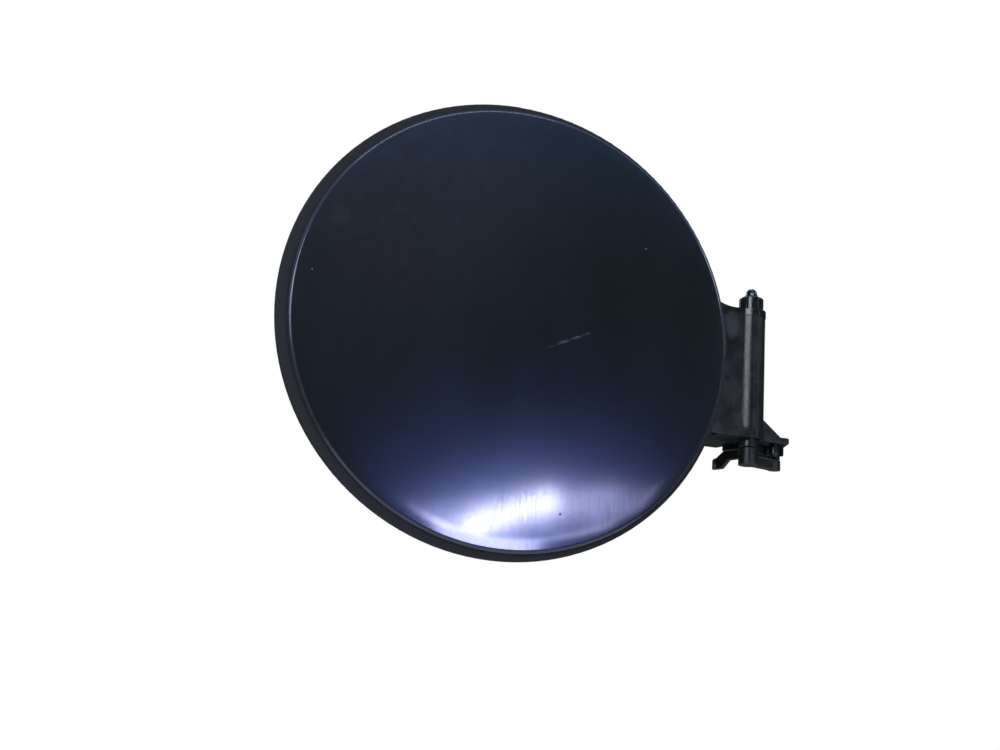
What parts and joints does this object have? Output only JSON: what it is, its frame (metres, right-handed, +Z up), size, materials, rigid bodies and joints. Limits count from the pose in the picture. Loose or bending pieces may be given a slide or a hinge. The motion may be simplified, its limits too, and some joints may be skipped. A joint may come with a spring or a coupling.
{
  "type": "car fuel door",
  "caption": "Round domed black plastic car fuel door with a satin lip, hinge arm with split pivot peg and stop wing, ribbed back, latch eye, rubber buffers and separate lower hinge anchor.",
  "frame": {"origin": "on the hinge axis, on the flat seat under the lower hinge anchor", "axes": "+X from the disc to the hinge side, +Y to the back of the shut door, +Z up along the hinge axis"},
  "size_m": [0.1931, 0.0365, 0.1602],
  "materials": {
    "gloss_face": "gloss black with a faint blue cast, finely wiped",
    "satin_carrier": "satin black moulded plastic",
    "anchor_plastic": "black moulded plastic, slightly glossier at the edges",
    "buffer_rubber": "dull black rubber"
  },
  "bodies": {
    "hinge_base": {"hinge_anchor": "anchor_plastic"},
    "door": {"outer_panel": "gloss_face", "inner_carrier": "satin_carrier", "bump_stops": "buffer_rubber"}
  },
  "joints": [
    {"name": "door_swing", "type": "hinge", "parent": "hinge_base", "child": "door", "pos_m": [0, 0, 0], "axis": [0, 0, 1], "range_deg": [0, 83]}
  ]
}
